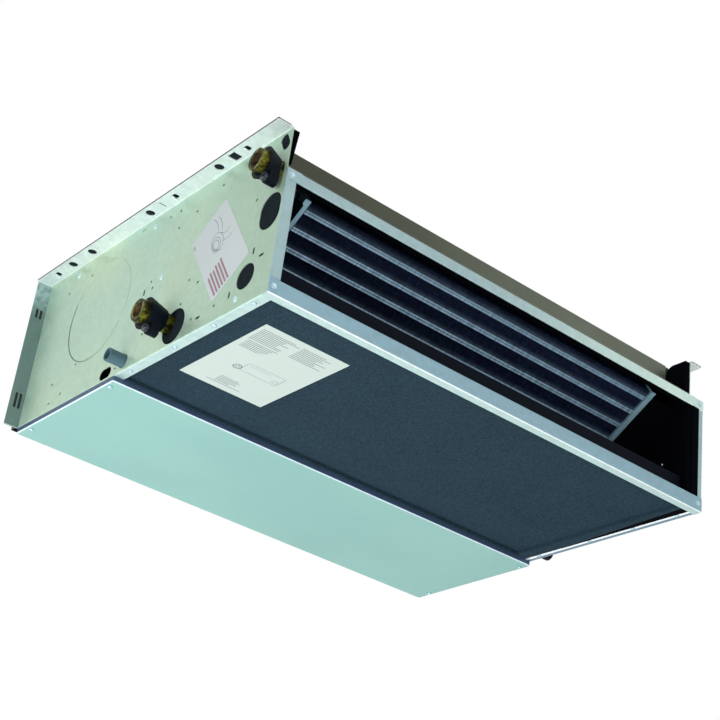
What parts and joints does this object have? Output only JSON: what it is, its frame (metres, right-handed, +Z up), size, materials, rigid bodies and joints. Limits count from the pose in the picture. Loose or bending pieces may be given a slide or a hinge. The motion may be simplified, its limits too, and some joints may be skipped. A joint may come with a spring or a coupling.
{
  "type": "ceiling fan coil unit",
  "caption": "Horizontal ceiling fan coil unit in folded galvanised sheet, with a slanted water coil, centrifugal fans, drain pan and sliding rear filter.",
  "frame": {"origin": "centre of the four ceiling holes, in the ceiling plane on top of the unit", "axes": "+X along the discharge slot away from the water connections, +Y from the discharge face to the air intake, +Z up to the ceiling; the unit hangs below Z = 0"},
  "size_m": [0.7677, 0.5575, 0.2262],
  "materials": {
    "galvanised": "satin",
    "cover_sheet": "satin",
    "dark_sheet": "matte",
    "zinc_screw": "satin",
    "black_foam": "matte",
    "slate_foam": "matte",
    "pan_coat": "matte",
    "grey_tube": "satin",
    "fin_aluminium": "satin",
    "copper": "satin",
    "brass": "satin",
    "black_rubber": "matte",
    "black_plastic": "satin",
    "wheel_aluminium": "satin",
    "shaft_steel": "satin",
    "motor_shell": "satin",
    "pale_plastic": "satin",
    "filter_mat": "matte"
  },
  "bodies": {
    "casing": {"left_side_panel": "galvanised", "right_side_panel": "galvanised", "upper_rail": "galvanised", "lower_rail": "galvanised", "top_panel": "galvanised", "front_riser": "dark_sheet", "frame_screws": "zinc_screw", "left_lining": "black_foam", "right_lining": "black_foam", "top_lining": "black_foam", "service_cover": "cover_sheet", "cover_lining": "black_foam", "cover_screws": "zinc_screw", "bottom_screws": "zinc_screw", "drain_pan": "pan_coat", "pan_insulation": "slate_foam", "drain_spigot": "grey_tube", "drain_spigot_right": "grey_tube", "drain_cap": "black_rubber", "coil_fins": "fin_aluminium", "coil_end_plate_left": "galvanised", "coil_end_plate_right": "galvanised", "return_bends": "copper", "return_header": "copper", "supply_header": "copper", "return_fitting": "brass", "supply_fitting": "brass", "return_sleeve": "black_rubber", "supply_sleeve": "black_rubber", "coil_seal_left": "black_foam", "coil_seal_right": "black_foam", "fan_deck": "galvanised", "fan_housing_left": "galvanised", "fan_housing_right": "galvanised", "motor_body": "motor_shell", "shaft_bearing_left": "shaft_steel", "shaft_bearing_right": "shaft_steel", "motor_cradle": "galvanised", "motor_mounts": "black_rubber", "motor_straps": "galvanised", "electric_box": "galvanised", "electric_cover": "cover_sheet", "electric_screws": "zinc_screw", "terminal_block": "pale_plastic", "capacitor": "pale_plastic", "cable_glands": "black_plastic", "filter_guide_left": "black_plastic", "filter_guide_right": "black_plastic", "ceiling_tape_left": "black_foam", "ceiling_tape_right": "black_foam"},
    "fan_rotor": {"fan_wheel_left": "wheel_aluminium", "fan_wheel_right": "wheel_aluminium", "fan_shaft": "shaft_steel"},
    "filter": {"filter_frame": "black_plastic", "filter_media": "filter_mat"},
    "vent_valve": {"vent_knob": "black_plastic"},
    "drain_valve": {"drain_knob": "black_plastic"}
  },
  "joints": [
    {"name": "fan_spin", "type": "hinge", "parent": "casing", "child": "fan_rotor", "pos_m": [0, 0.1325, -0.111], "axis": [1, 0, 0], "continuous": true},
    {"name": "filter_slide", "type": "slide", "parent": "casing", "child": "filter", "axis": [0, 0, -1], "range_m": [0, 0.195]},
    {"name": "vent_turn", "type": "hinge", "parent": "casing", "child": "vent_valve", "pos_m": [-0.36, -0.28453, -0.07279], "axis": [-1, 0, 0], "range_deg": [0, 180]},
    {"name": "drain_turn", "type": "hinge", "parent": "casing", "child": "drain_valve", "pos_m": [-0.371, -0.1055, -0.20382], "axis": [-1, 0, 0], "range_deg": [0, 180]}
  ]
}
